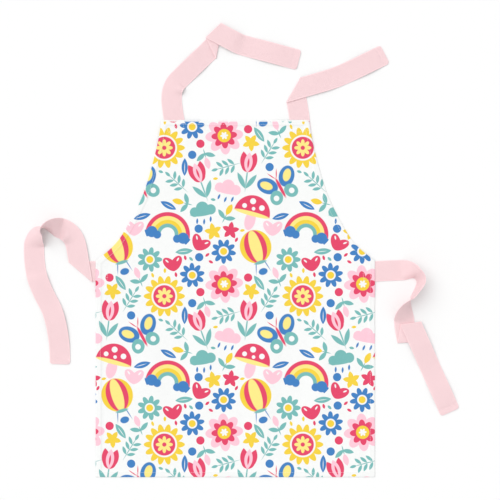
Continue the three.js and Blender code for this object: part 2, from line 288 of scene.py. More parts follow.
def curve_through(rows, at):
    """Value and slope of a smooth curve through a table's rows, carried on straight past its last row"""

    def slope(i):
        (x0, y0), (x1, y1) = rows[max(i - 1, 0)], rows[min(i + 1, len(rows) - 1)]
        return (y1 - y0) / (x1 - x0)

    last = len(rows) - 1
    if at >= rows[last][0]:
        return rows[last][1] + slope(last) * (at - rows[last][0]), slope(last)
    i = max(n for n in range(last) if n == 0 or rows[n][0] <= at)
    (x0, p), (x1, q) = rows[i], rows[i + 1]
    span = x1 - x0
    t = (at - x0) / span
    m, n = slope(i) * span, slope(i + 1) * span
    a, b = 2 * p - 2 * q + m + n, 3 * q - 3 * p - 2 * m - n
    return ((a * t + b) * t + m) * t + p, ((3 * a * t + 2 * b) * t + m) / span


def half_width(panel, y, inset):
    """Half the panel's width at a height, drawn in from its edge, and the edge's own slope there"""
    side = panel.width / 2 - inset
    flare = (panel.width - panel.bib_width) / 2
    value, slope = curve_through(ARMHOLE, (panel.height - y) / panel.armhole_drop)
    slope *= flare / panel.armhole_drop
    armhole = panel.bib_width / 2 + value * flare - inset * math.hypot(1, slope)
    return (side, 0.0) if side <= armhole else (armhole, slope)


def inset_at(panel, x, y):
    """How far a point of the panel lies in from its nearest edge"""
    edge, slope = half_width(panel, y, 0)
    side = (edge - abs(x)) / math.hypot(1, slope)
    return max(0.0, min(y, panel.height - y, side))


Strap = namedtuple("Strap", "rows length x y heading")


def strap_plan(panel, tape):
    """Where each strap leaves the panel's edge, which way, and how long it is"""
    waist = panel.height - panel.armhole_drop - tape.waist_inset
    side, top = panel.bib_width / 2, panel.height
    starts = {
        "neck_strap_left": (NECK_LEFT, tape.neck_left, tape.neck_left_inset - side, top),
        "neck_strap_right": (NECK_RIGHT, tape.neck_right, side - tape.neck_right_inset, top),
        "waist_tie_left": (WAIST_LEFT, tape.waist_left, -panel.width / 2, waist),
        "waist_tie_right": (WAIST_RIGHT, tape.waist_right, panel.width / 2, waist),
    }
    return {name: Strap(*start, HEADINGS[name]) for name, start in starts.items()}


# How softly the panel comes down around the tape that lies under it, and its clearance over it
RISE_MARGIN = 12 * MM
RISE_RAMP = 22 * MM
PIECE_GAP = 0.3 * MM


def distance_to_sewn_tape(strap, tape, x, y):
    """How far a point lies from the part of the strap behind the panel, and as much again past the edge"""
    turn = math.radians(strap.heading)
    along = (x - strap.x) * math.cos(turn) + (y - strap.y) * math.sin(turn)
    across = (y - strap.y) * math.cos(turn) - (x - strap.x) * math.sin(turn)
    past = max(0, -tape.sewn - along, along - tape.width)
    return math.hypot(past, max(0, abs(across) - tape.width / 2))


def underside(panel, tape, straps, x, y):
    """The height of the panel's underside: over the straps' sewn ends, and in low ripples"""
    height = 0
    for strap in straps:
        far = distance_to_sewn_tape(strap, tape, x, y) - RISE_MARGIN
        height = max(height, (tape.thickness + PIECE_GAP) * ease(clamp01(1 - far / RISE_RAMP)))
    for ripple in RIPPLES:
        dx, dy = x - ripple.across * panel.width, y - ripple.up * panel.height
        c, s = math.cos(math.radians(ripple.turn)), math.sin(math.radians(ripple.turn))
        along = (dy * c - dx * s) / (ripple.long * panel.height)
        across = (dx * c + dy * s) / (ripple.wide * panel.height)
        near = max(0, 1 - along * along - across * across)
        height += ripple.height * panel.height * near * near
    return height


# The cloth's rounded cut edge, the soft step inside its hem, and the small puckers that its stitches draw
CLOTH_EDGE = 1 * MM
EDGE_THINNING = 0.4
HEM_STEP = 1.6 * MM
PUCKER_HEIGHT = 0.35 * MM
PUCKER_LENGTH = 11 * MM
PUCKER_REACH = 14 * MM
CREASE_HEIGHT = 0.9 * MM
CREASE_LENGTH = 55 * MM


def thickness_at(panel, inset):
    """The panel's thickness so far in from its edge: rounded off, then hem, then one layer"""
    rounding = EDGE_THINNING + (1 - EDGE_THINNING) * math.sin(clamp01(inset / CLOTH_EDGE) * math.pi / 2)
    step = ease(clamp01((inset - panel.hem_width + HEM_STEP / 2) / HEM_STEP))
    return mix(panel.hem_cloth, panel.cloth, step) * rounding


def pucker(x, y, inset):
    """A small rise of the cloth: drawn in along the hem, and softly uneven everywhere"""
    drawn = noise.noise(Vector((x, y, 0)) / PUCKER_LENGTH) * math.exp(-((inset / PUCKER_REACH) ** 2))
    uneven = noise.noise(Vector((x, y, 1)) / CREASE_LENGTH)
    creased = CREASE_HEIGHT * (0.5 + 0.5 * uneven) * clamp01(inset / PUCKER_REACH)
    return PUCKER_HEIGHT * (0.5 + 0.5 * drawn) + creased


def sheet_mesh(front, back):
    """Points and faces of a closed sheet between two grids, its outer face and its inner. The faces come in
    this order: front, back, rim."""
    rows, columns = len(front), len(front[0])
    points = [p for grid in (front, back) for row in grid for p in row]

    def at(side, j, i):
        return side * rows * columns + j * columns + i

    cells = [(j, i) for j in range(rows - 1) for i in range(columns - 1)]
    faces = [(at(0, j, i), at(0, j, i + 1), at(0, j + 1, i + 1), at(0, j + 1, i)) for j, i in cells]
    faces += [(at(1, j, i), at(1, j + 1, i), at(1, j + 1, i + 1), at(1, j, i + 1)) for j, i in cells]
    rim = [(0, i) for i in range(columns - 1)] + [(j, columns - 1) for j in range(rows - 1)]
    rim += [(rows - 1, i) for i in range(columns - 1, 0, -1)] + [(j, 0) for j in range(rows - 1, 0, -1)]
    for here, after in zip(rim, rim[1:] + rim[:1]):
        faces.append((at(1, *here), at(1, *after), at(0, *after), at(0, *here)))
    return points, faces


def new_piece(name, points, faces, material, drop, smooth_angle=50):
    """A piece at the origin, from points that count Y from the hem"""
    mesh = bpy.data.meshes.new(name)
    mesh.from_pydata([(p[0], p[1] - drop, p[2]) for p in points], [], faces)
    mesh.polygons.foreach_set("use_smooth", [True] * len(mesh.polygons))
    mesh.set_sharp_from_angle(angle=math.radians(smooth_angle))
    mesh.materials.append(material)
    piece = bpy.data.objects.new(name, mesh)
    bpy.context.collection.objects.link(piece)
    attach(piece, "root")
    return piece


# The panel's lines from one edge inwards, in millimetres, and its even rows and columns
EDGE_LINES = [0, 0.12, 0.35, 0.65, 1, 3, 5, 7.2, 9.2, 9.7, 10.3, 10.8]
PANEL_COLUMNS = 112
SKIRT_ROWS = 92
BIB_ROWS = 60


def panel_grids(panel, tape):
    """The panel's two faces, and how far in from its edge each of their points lies"""
    straps = list(strap_plan(panel, tape).values())
    lines = [line * MM for line in EDGE_LINES]
    waist = panel.height - panel.armhole_drop
    heights = lines[:-1] + evenly(lines[-1], waist, SKIRT_ROWS)
    heights += evenly(waist, panel.height - lines[-1], BIB_ROWS)[1:]
    heights += [panel.height - line for line in lines[-2::-1]]
    front, back, insets = [], [], []
    for y in heights:
        sides = [half_width(panel, y, line)[0] for line in lines]
        columns = [-x for x in sides[:-1]] + evenly(-sides[-1], sides[-1], PANEL_COLUMNS) + sides[-2::-1]
        front.append([])
        back.append([])
        for i, x in enumerate(columns):
            line = min(i, len(columns) - 1 - i)
            inset = lines[line] if line < len(lines) - 1 else inset_at(panel, x, y)
            inset = min(inset, y, panel.height - y)
            low = underside(panel, tape, straps, x, y) + pucker(x, y, inset)
            front[-1].append((x, y, low + thickness_at(panel, inset)))
            back[-1].append((x, y, low))
            insets.append(inset)
    return front, back, insets


def panel_top(panel, tape, straps, x, y):
    """The height of the panel's printed face"""
    inset = inset_at(panel, x, y)
    return underside(panel, tape, straps, x, y) + pucker(x, y, inset) + thickness_at(panel, inset)


# The straps' fine steps: along a run, round a bend, a roll and a crease, across the tape, and at its end
RUN_STEP = 4 * MM
BEND_STEP = 3
ROLL_STEP = 4
FOLD_STEPS = 12
CREASE_EASE = 1.25
TAPE_COLUMNS = [1, 0.985, 0.96, 0.88, 0.72, 0.48, 0.24, 0, -0.24, -0.48, -0.72, -0.88, -0.96, -0.985, -1]
TAPE_EDGE = {1: 0.55, 0.985: 0.86}
END_HEM_EXTRA = 0.5 * MM
END_CORNER_CUTS = [0.8, 0.6, 0.45, 0.3, 0.2, 0.1, 0.04, 0]
UP = Vector((0, 0, 1))


def tape_cut(tape, pen, slant, **extra):
    """One cut across the tape where the pen is: its middle, its three directions and its slant"""
    heading, roll = math.radians(pen["heading"]), math.radians(pen["roll"])
    forward = Vector((math.cos(heading), math.sin(heading), 0))
    plan_left = Vector((-forward.y, forward.x, 0))
    raised = abs(math.sin(roll)) * tape.width / 2
    height = tape.thickness / 2 + pen["lift"] * (tape.thickness + tape.layer_gap) + raised
    cut = {
        "middle": Vector((pen["x"], pen["y"], height)),
        "forward": forward,
        "left": plan_left * math.cos(roll) + UP * math.sin(roll),
        "face": UP * math.cos(roll) - plan_left * math.sin(roll),
        "slant": slant,
        "at": pen["at"],
        "roll": roll,
        "ruck": 0,
        "narrowing": 0,
        "thickening": 0,
    }
    cut.update(extra)
    return cut


def crease_slant(turn, roll):
    """The slant of the crease that turns the tape by so much"""
    return math.copysign(1, math.cos(math.radians(roll))) / math.tan(math.radians(turn / 2))


def add_run(tape, cuts, pen, row, run, slants):
    """A run of tape from one crease, or none, to the next"""
    bend, roll, lift, ruck = (row.get(key, 0) for key in ("bend", "roll", "lift", "ruck"))
    steps = math.ceil(max(run / RUN_STEP, abs(bend) / BEND_STEP, abs(roll) / ROLL_STEP, 1))
    start = dict(pen)
    reach = [abs(slant) * tape.width / 2 * CREASE_EASE for slant in slants]

    def faded(slant, distance, reached):
        """A crease's slant, further and further from it"""
        return slant * clamp01(1 - distance / reached) if reached > 0 else 0

    for i in range(1, steps + 1):
        t = i / steps
        halfway = math.radians(start["heading"] + bend * (t - 0.5 / steps))
        pen["x"] += math.cos(halfway) * run / steps
        pen["y"] += math.sin(halfway) * run / steps
        pen["at"] += run / steps
        pen["heading"] = start["heading"] + bend * t
        pen["roll"] = start["roll"] + roll * t
        pen["lift"] = mix(start["lift"], lift, ease(t))
        if sum(reach) > run:
            slant = mix(slants[0], slants[1], t)
        else:
            slant = faded(slants[0], t * run, reach[0]) + faded(slants[1], (1 - t) * run, reach[1])
        cuts.append(tape_cut(tape, pen, slant, ruck=ruck * math.sin(math.pi * t) ** 2))


def add_fold(tape, cuts, pen, turn):
    """A crease: the tape turns over about a slanted line, up and onto itself"""
    slant = crease_slant(turn, pen["roll"])
    start = tape_cut(tape, pen, slant)
    out = start["forward"] * math.cos(math.atan(slant)) - start["left"] * math.sin(math.atan(slant))
    radius = (tape.thickness + tape.layer_gap) / 2
    for i in range(1, FOLD_STEPS + 1):
        angle = math.pi * i / FOLD_STEPS
        spin = Matrix.Rotation(angle, 3, out.cross(UP))
        pen["at"] += math.pi * radius / FOLD_STEPS
        cut = dict(start, at=pen["at"])
        rise = UP * radius * (1 - math.cos(angle))
        cut["middle"] = start["middle"] + out * radius * math.sin(angle) + rise
        for key in ("forward", "left", "face"):
            cut[key] = spin @ start[key]
        cuts.append(cut)
    pen["x"], pen["y"] = cuts[-1]["middle"].x, cuts[-1]["middle"].y
    pen["heading"] += turn
    pen["roll"] += 180
    pen["lift"] += 1


def tape_cuts(tape, strap):
    """Every cut of a strap, from its sewn end to its free end"""
    widths = sum(row.get("widths", 0) for row in strap.rows)
    shares = sum(row.get("run", 0) for row in strap.rows)
    free = strap.length - widths * tape.width
    back = math.radians(strap.heading + 180)
    pen = {
        "x": strap.x + math.cos(back) * tape.sewn,
        "y": strap.y + math.sin(back) * tape.sewn,
        "heading": strap.heading,
        "roll": 0,
        "lift": 0,
        "at": 0,
    }
    cuts = [tape_cut(tape, pen, 0)]
    add_run(tape, cuts, pen, {}, tape.sewn, [0, 0])
    around = [{}] + strap.rows + [{}]
    for before, row, after in zip(around, strap.rows, around[2:]):
        if "fold" in row:
            add_fold(tape, cuts, pen, row["fold"])
            continue
        slants = [
            cuts[-1]["slant"] if "fold" in before else 0,
            crease_slant(after["fold"], pen["roll"] + row.get("roll", 0)) if "fold" in after else 0,
        ]
        run = row["widths"] * tape.width if "widths" in row else row["run"] / shares * free
        add_run(tape, cuts, pen, row, run, slants)
    return turned_end(tape, cuts, pen)


def turned_end(tape, cuts, pen):
    """The free end is turned under and stitched, with soft corners"""
    end = pen["at"]
    cuts = [cut for cut in cuts if cut["at"] < end - tape.end_hem - HEM_STEP]
    insets = [tape.end_hem + HEM_STEP / 2, tape.end_hem - HEM_STEP / 2]
    for inset in insets + [share * tape.end_corner for share in END_CORNER_CUTS]:
        heading = math.radians(pen["heading"])
        here = dict(pen, at=end - inset)
        here["x"] -= math.cos(heading) * inset
        here["y"] -= math.sin(heading) * inset
        short = max(0, tape.end_corner - inset)
        narrowing = tape.end_corner - math.sqrt(tape.end_corner**2 - short**2)
        thickening = END_HEM_EXTRA if inset < tape.end_hem else 0
        cuts.append(tape_cut(tape, here, 0, narrowing=narrowing, thickening=thickening))
    return cuts


def tape_grids(tape, strap):
    """The tape's two faces, and each point's distance along and across the tape"""
    front, back, places = [], [], []
    for cut in tape_cuts(tape, strap):
        half = tape.width / 2 - cut["narrowing"]
        flip = math.copysign(1, math.cos(cut["roll"]))
        front.append([])
        back.append([])
        for across in TAPE_COLUMNS:
            middle = cut["middle"] + cut["left"] * across * half
            middle += cut["forward"] * across * half * cut["slant"]
            inner = (1 + math.copysign(1, cut["ruck"]) * across * flip) / 2
            middle.z += abs(cut["ruck"]) * tape.width * inner * inner
            thickness = tape.thickness / 2 * TAPE_EDGE.get(abs(across), 1)
            face_up = cut["face"].z >= 0
            front[-1].append(middle + cut["face"] * (thickness + (cut["thickening"] if face_up else 0)))
            back[-1].append(middle - cut["face"] * (thickness + (0 if face_up else cut["thickening"])))
            places.append((cut["at"] + across * half * cut["slant"], across * half))
    return front, back, places


class Value:
    """A node's output, which can be used in sums like a number"""

    def __init__(self, tree, socket):
        self.tree = tree
        self.socket = socket

    def make(self, kind, inputs, output=0, **settings):
        """Any other node in the same tree, fed with numbers, vectors, colours or other values"""
        node = self.tree.nodes.new(kind)
        for key, setting in settings.items():
            setattr(node, key, setting)
        for key, value in inputs.items():
            if isinstance(value, Value):
                self.tree.links.new(value.socket, node.inputs[key])
            else:
                node.inputs[key].default_value = value
        return Value(self.tree, node.outputs[output])

    def math(self, operation, *others, clamp=False):
        """Arithmetic with this number first"""
        inputs = dict(enumerate((self, *others)))
        return self.make("ShaderNodeMath", inputs, operation=operation, use_clamp=clamp)

    def vector(self, operation, *others, output=0):
        """Vector arithmetic with this vector first; output 1 is a length"""
        inputs = dict(enumerate((self, *others)))
        return self.make("ShaderNodeVectorMath", inputs, output, operation=operation)

    def swapped(self, operation, other):
        """Arithmetic with this number second"""
        return self.make("ShaderNodeMath", {0: other, 1: self}, operation=operation)

    def __add__(self, other):
        return self.math("ADD", other)

    __radd__ = __add__

    def __sub__(self, other):
        return self.math("SUBTRACT", other)

    def __rsub__(self, other):
        return self.swapped("SUBTRACT", other)

    def __mul__(self, other):
        return self.math("MULTIPLY", other)

    __rmul__ = __mul__

    def __truediv__(self, other):
        return self.math("DIVIDE", other)

    def __rtruediv__(self, other):
        return self.swapped("DIVIDE", other)

    def mix_colours(self, factor, first, second, blend_type="MIX"):
        """Two colours mixed by a factor, whichever of the three this value is. A Mix node takes colours at
        its sockets 6 and 7, and vectors at 4 and 5."""
        inputs = {0: factor, 6: first, 7: second}
        return self.make("ShaderNodeMix", inputs, 2, data_type="RGBA", blend_type=blend_type)

    def paint(self, under, over):
        """One colour over another, where this mask is 1"""
        return self.mix_colours(self, under, over)

    def faded(self, share, other):
        """This colour, turned into another by a share"""
        return self.mix_colours(share, self, other)

    def tint(self, other):
        """This colour times another"""
        return self.mix_colours(1.0, self, other, "MULTIPLY")

    def grey(self):
        """This number as a grey colour"""
        return self.make("ShaderNodeCombineColor", {0: self, 1: self, 2: self})

    def parts(self):
        """This vector's X, Y and Z"""
        node = self.make("ShaderNodeSeparateXYZ", {0: self})
        return [Value(self.tree, output) for output in node.socket.node.outputs]

    def noise(self, scale, detail=2, roughness=0.5):
        inputs = {"Vector": self, "Scale": scale, "Detail": detail, "Roughness": roughness}
        return self.make("ShaderNodeTexNoise", inputs, 0, noise_dimensions="3D")


def new_material(name, seen, roughness, sheen):
    """A cloth material, its shader's value and a value to build on"""
    material = bpy.data.materials.new(name)
    material.use_nodes = True
    material.diffuse_color = (*seen, 1)
    tree = material.node_tree
    tree.nodes.clear()
    output = tree.nodes.new("ShaderNodeOutputMaterial")
    shader = tree.nodes.new("ShaderNodeBsdfPrincipled")
    shader.inputs["Roughness"].default_value = roughness
    shader.inputs["Sheen Weight"].default_value = sheen
    shader.inputs["Sheen Roughness"].default_value = 0.5
    shader.inputs["Specular IOR Level"].default_value = 0.2
    tree.links.new(shader.outputs[0], output.inputs[0])
    where = Value(tree, tree.nodes.new("ShaderNodeTexCoord").outputs["Object"])
    return material, shader, where


def finish_material(shader, where, base, height, distance, roughness=None):
    """Gives the shader its colour and its relief, which is a height times a distance"""
    where.tree.links.new(base.socket, shader.inputs["Base Color"])
    bump = where.make("ShaderNodeBump", {"Strength": 1.0, "Distance": distance, "Height": height})
    where.tree.links.new(bump.socket, shader.inputs["Normal"])
    if roughness is not None:
        where.tree.links.new(roughness.socket, shader.inputs["Roughness"])


# How soft a printed edge is, as a share of the motif's radius
SOFT = 0.025


class Pen:
    """Draws shapes as masks in a motif's own plane, where its radius is 1"""

    def __init__(self, place):
        self.place = place
        self.split = None

    def axes(self):
        if self.split is None:
            self.split = self.place.parts()
        return self.split[0], self.split[1]

    def mirrored(self):
        """A pen that draws the same on both sides of the motif's middle line"""
        x, y = self.axes()
        return Pen(self.place.make("ShaderNodeCombineXYZ", {0: x.math("ABSOLUTE"), 1: y, 2: 0.0}))

    def disc(self, x, y, radius):
        """A round spot"""
        away = self.place.vector("DISTANCE", (x, y, 0), output=1)
        return away.math("MULTIPLY_ADD", -1 / SOFT, 0.5 + radius / SOFT, clamp=True)

    def turned(self, x, y, half_x, half_y, turn=0):
        """This plane laid into a shape's own, where the shape reaches 1 both ways"""
        inputs = {
            "Vector": self.place,
            "Location": (x, y, 0),
            "Rotation": (0, 0, math.radians(turn)),
            "Scale": (half_x, half_y, 1),
        }
        return self.place.make("ShaderNodeMapping", inputs, vector_type="TEXTURE")

    def oval(self, x, y, half_x, half_y, turn=0):
        """A spot longer one way than the other"""
        away = self.turned(x, y, half_x, half_y, turn).vector("LENGTH", output=1)
        soft = SOFT / min(half_x, half_y)
        return away.math("MULTIPLY_ADD", -1 / soft, 0.5 + 1 / soft, clamp=True)

    def leaf(self, x, y, half_x, half_y, turn=0):
        """A pointed oval: what two discs have in common"""
        middle = (half_y**2 - half_x**2) / (2 * half_x)
        own = self.turned(x, y, 1, 1, turn).vector("ABSOLUTE")
        away = own.vector("DISTANCE", (-middle, 0, 0), output=1)
        return away.math("MULTIPLY_ADD", -1 / SOFT, 0.5 + (middle + half_x) / SOFT, clamp=True)

    def above(self, y):
        """All that lies above a level line"""
        return self.axes()[1].math("MULTIPLY_ADD", 1 / SOFT, 0.5 - y / SOFT, clamp=True)

    def within(self, reach):
        """All that is nearer to the middle than a reach"""
        inside = reach - self.place.vector("LENGTH", output=1)
        return inside.math("MULTIPLY_ADD", 1 / SOFT, 0.5, clamp=True)

    def petals(self, count, radius, depth):
        """Round petals about the middle"""
        x, y = self.axes()
        wave = (y.math("ARCTAN2", x) * (count / 2)).math("COSINE").math("ABSOLUTE")
        reach = wave.math("MULTIPLY_ADD", radius * depth, radius * (1 - depth))
        return self.within(reach)

    def star(self, points, radius, depth):
        """Straight-sided points about the middle"""
        x, y = self.axes()
        wave = (y.math("ARCTAN2", x) * (points / math.tau)).math("PINGPONG", 0.5)
        reach = wave.math("MULTIPLY_ADD", -2 * depth * radius, radius)
        return self.within(reach)


def any_of(*masks):
    """Shapes joined into one mask"""
    joined = masks[0]
    for mask in masks[1:]:
        joined = joined.math("MAXIMUM", mask)
    return joined


# The motifs. Each gives its shapes from the lowest to the topmost, and the ink that fills each.


def rainbow(pen, ink, inks):
    """Bands over two clouds"""
    bands = ink
    for radius, band in ((0.78, "pale_yellow"), (0.62, "yellow"), (0.46, "teal"), (0.3, "ground")):
        bands = pen.disc(0, -0.4, radius).paint(bands, inks[band])
    arch = pen.disc(0, -0.4, 0.95) * pen.above(-0.4)
    side = pen.mirrored()
    puffs = any_of(side.disc(0.68, -0.42, 0.24), side.disc(0.43, -0.5, 0.17), side.disc(0.88, -0.52, 0.15))
    return [(arch, bands), (puffs, inks["blue"])]


def balloon(pen, ink, inks):
    """Ropes, three gores, a rim and a basket"""
    return [
        (pen.mirrored().leaf(0.22, -0.55, 0.02, 0.34, 16), inks["blue"]),
        (pen.oval(0, 0.26, 0.66, 0.7), ink),
        (pen.oval(0, 0.26, 0.46, 0.7), inks["raspberry"]),
        (pen.oval(0, 0.26, 0.24, 0.7), inks["pale_yellow"]),
        (pen.oval(0, -0.43, 0.26, 0.07), inks["teal"]),
        (pen.oval(0, -0.83, 0.19, 0.14), inks["blue"]),
    ]


def sun(pen, ink, inks):
    """Rays about a disc with a small flower on it"""
    return [
        (pen.petals(14, 0.97, 0.3), ink),
        (pen.disc(0, 0, 0.6), inks["ground"]),
        (pen.disc(0, 0, 0.52), inks["raspberry"]),
        (pen.petals(8, 0.4, 0.45), inks["pale_yellow"]),
        (pen.disc(0, 0, 0.1), inks["raspberry"]),
    ]


def tulip(pen, ink, inks):
    """A cup on a stem with two leaves"""
    side = pen.mirrored()
    return [
        (any_of(side.leaf(0.24, -0.52, 0.12, 0.44, -32), pen.oval(0, -0.4, 0.035, 0.55)), inks["teal"]),
        (any_of(side.leaf(0.2, 0.42, 0.21, 0.5, -12), pen.disc(0, 0.25, 0.33)), ink),
        (pen.leaf(0, 0.4, 0.2, 0.5), inks["pink"]),
        (pen.leaf(0, 0.36, 0.05, 0.26), ink),
    ]


def butterfly(pen, ink, inks):
    """Two pairs of spotted wings, a body and feelers"""
    side = pen.mirrored()
    body = any_of(pen.oval(0, -0.05, 0.075, 0.5), side.leaf(0.13, 0.62, 0.025, 0.24, -28))
    return [
        (side.oval(0.5, 0.3, 0.36, 0.5, -42), ink),
        (side.oval(0.54, 0.34, 0.18, 0.3, -42), inks["pale_yellow"]),
        (side.oval(0.38, -0.38, 0.3, 0.34, 30), inks["teal"]),
        (side.disc(0.4, -0.4, 0.13), inks["ground"]),
        (body, inks["raspberry"]),
    ]


def mushroom(pen, ink, inks):
    """A spotted cap on a stem"""
    spots = ((-0.46, 0.24, 0.12), (-0.1, 0.56, 0.15), (0.42, 0.34, 0.14), (0.02, 0.2, 0.09))
    return [
        (pen.oval(0, -0.42, 0.27, 0.5), inks["pink"]),
        (pen.oval(0, -0.08, 0.92, 0.95) * pen.above(-0.06), ink),
        (pen.oval(0, -0.07, 0.9, 0.11), inks["pale_yellow"]),
        (any_of(*[pen.disc(*spot) for spot in spots]), inks["ground"]),
    ]


def blossom(pen, ink, inks):
    """Two rings of petals about a bright middle"""
    return [
        (pen.petals(8, 0.97, 0.3), ink),
        (pen.petals(8, 0.66, 0.34), inks["raspberry"]),
        (pen.disc(0, 0, 0.34), inks["yellow"]),
        (pen.petals(6, 0.2, 0.5), inks["ground"]),
    ]


def daisy(pen, ink, inks):
    """One ring of petals about a ringed middle"""
    return [
        (pen.petals(9, 0.95, 0.42), ink),
        (pen.disc(0, 0, 0.38), inks["ground"]),
        (pen.disc(0, 0, 0.27), inks["yellow"]),
    ]


def heart(pen, ink, inks):
    """A heart with a glint on each lobe"""
    side = pen.mirrored()
    glints = side.oval(0.5, 0.36, 0.07, 0.18, -40)
    return [(side.oval(0.27, 0.02, 0.44, 0.78, -40), ink), (glints, inks["ground"])]


def cloud(pen, ink, inks):
    """Three puffs on a flat foot, and three drops of rain"""
    puffs = [pen.disc(-0.52, 0.1, 0.32), pen.disc(0.02, 0.3, 0.42), pen.disc(0.55, 0.12, 0.34)]
    drops = [pen.leaf(x, y, 0.07, 0.2, -12) for x, y in ((-0.45, -0.52), (0, -0.62), (0.45, -0.52))]
    return [(any_of(*puffs, pen.oval(0, -0.04, 0.84, 0.2)), ink), (any_of(*drops), inks["blue"])]


def sprig(pen, ink, inks):
    """Three pairs of leaves on a stem, and one at its tip"""
    side = pen.mirrored()
    leaves = [side.leaf(0.27, up, 0.11, 0.3, -52) for up in (-0.45, -0.05, 0.35)]
    return [(any_of(*leaves, pen.leaf(0, 0.76, 0.1, 0.24), pen.oval(0, -0.1, 0.03, 0.86)), ink)]


def sprout(pen, ink, inks):
    """A bud between two leaves"""
    leaves = any_of(pen.mirrored().leaf(0.42, -0.28, 0.2, 0.52, -62), pen.oval(0, -0.5, 0.05, 0.4))
    return [(leaves, inks["teal"]), (pen.leaf(0, 0.4, 0.26, 0.55), ink)]


def star(pen, ink, inks):
    return [(pen.star(5, 0.98, 0.52), ink)]


def leaf(pen, ink, inks):
    """A leaf with a bare rib"""
    return [(pen.leaf(0, 0, 0.34, 0.98), ink), (pen.leaf(0, -0.1, 0.035, 0.6), inks["ground"])]


def dot(pen, ink, inks):
    return [(pen.disc(0, 0, 0.94), ink)]


def speck(pen, ink, inks):
    return [(pen.leaf(0, 0, 0.5, 0.97), ink)]


DRAWN = (
    rainbow, balloon, sun, tulip, butterfly, mushroom, blossom, daisy, heart, cloud, sprig, sprout, star,
    leaf, dot, speck,
)
MOTIFS = {draw.__name__: draw for draw in DRAWN}

# Where a plane lies that no copy of a motif is near to, and how far past its radius a copy may reach
FAR_AWAY = (9.0, 9.0, 0.0)
MOTIF_ROOM = 1.08


def printed(plane, panel, inks):
    """The tossed print on its ground. All copies of a motif in one ink are drawn at once, in the plane of
    whichever copy is near."""
    cloth = inks["ground"]
    half = (panel.repeat_across / 2, panel.repeat_up / 2)
    for (motif, ink), spots in PRINT.items():
        place = FAR_AWAY
        for spot in spots:
            middle = (spot.across * MM, spot.up * MM)
            high = (middle[0] + half[0], middle[1] + half[1], 1.0)
            low = (middle[0] - half[0], middle[1] - half[1], -1.0)
            near = Pen(plane.vector("WRAP", high, low))
            radius = MOTIF_RADIUS[motif] * MM
            own = near.turned(*middle, radius, radius, spot.turn)
            inside = own.vector("LENGTH", output=1).math("LESS_THAN", MOTIF_ROOM)
            planes = {0: inside, 4: place, 5: own}
            place = own.make("ShaderNodeMix", planes, 1, data_type="VECTOR")
        for shape, tone in MOTIFS[motif](Pen(place), inks[ink], inks):
            cloth = shape.paint(cloth, tone)
    return cloth


# The weaves' pitches and how deep their relief is
THREAD_PITCH = 0.5 * MM
WEAVE_DEPTH = 0.05 * MM
TWILL_PITCH = 1.1 * MM
TWILL_DEPTH = 0.09 * MM
SLUB_LENGTH = 14 * MM
SLUB_WIDTH = 0.6 * MM
THREAD_RELIEF = 0.05 * MM

# The tape's woven edge, as shares of its half width, and the fine groove inside it, whose colour is painted
# darker as shade
SELVEDGE_FROM = 0.86
SELVEDGE_RAMP = 0.04
GROOVE_AT = 0.87
GROOVE_WIDTH = 0.5 * MM

# How much of the print shows on the cloth's back
SHOW_THROUGH = 0.14

# Uneven tones, in patches per metre: of the cotton, its soft crumple, the tape and the thread
MOTTLE = 180.0
CRUMPLE = 70.0
BLOTCH = 45.0
FUZZ = 2400.0


def plain_weave(where):
    """Threads over and under, from -1 to 1, and thicker threads here and there both ways, from 0 to 1"""
    x, y, _ = where.parts()
    over = (x * (math.pi / THREAD_PITCH)).math("SINE") * (y * (math.pi / THREAD_PITCH)).math("SINE")
    warp = where.vector("MULTIPLY", (1 / SLUB_WIDTH, 1 / SLUB_LENGTH, 0)).noise(1.0, 1)
    weft = where.vector("MULTIPLY", (1 / SLUB_LENGTH, 1 / SLUB_WIDTH, 0)).noise(1.0, 1)
    return over, (warp + weft) * 0.5


def panel_material(panel, colours):
    """White cotton in plain weave, printed on its face. Its back is bare but for the turned hem."""
    material, shader, where = new_material("printed_cotton", colours.ground, roughness=0.86, sheen=0.12)
    names = ("ground", "raspberry", "yellow", "pale_yellow", "blue", "teal", "pink")
    inks = {name: (*getattr(colours, name), 1) for name in names}
    plane = where.vector("MULTIPLY", (1, 1, 0))
    ink = printed(plane, panel, inks)

    # The tone takes in mottling and thick threads, with painted shade where the weave's threads dip under
    # and painted light where they ride over, and the relief the weave and a soft crumple
    over, slub = plain_weave(where)
    bare_from = panel.height / 2 - panel.bare_edge
    bare = plane.parts()[1].math("GREATER_THAN", bare_from)
    face = where.make("ShaderNodeAttribute", {}, 2, attribute_name="printed")
    through = ink.faded(1 - SHOW_THROUGH, inks["ground"])
    shown = (face * (1 - bare)).paint(through, ink)
    # Mottling and thick threads are the cotton's own tone; the weave term is painted light and shade on the
    # threads' relief
    tone_and_painted_shade = where.noise(MOTTLE, 3) * 0.06 + slub * 0.12 + over * 0.045 + 0.9
    base = shown.tint(tone_and_painted_shade.math("MINIMUM", 1.0).grey())
    soft = where.noise(CRUMPLE, 3, 0.6)
    height = over + slub * 2.4 + soft * 6
    finish_material(shader, where, base, height, WEAVE_DEPTH, soft * 0.12 + 0.8)
    return material


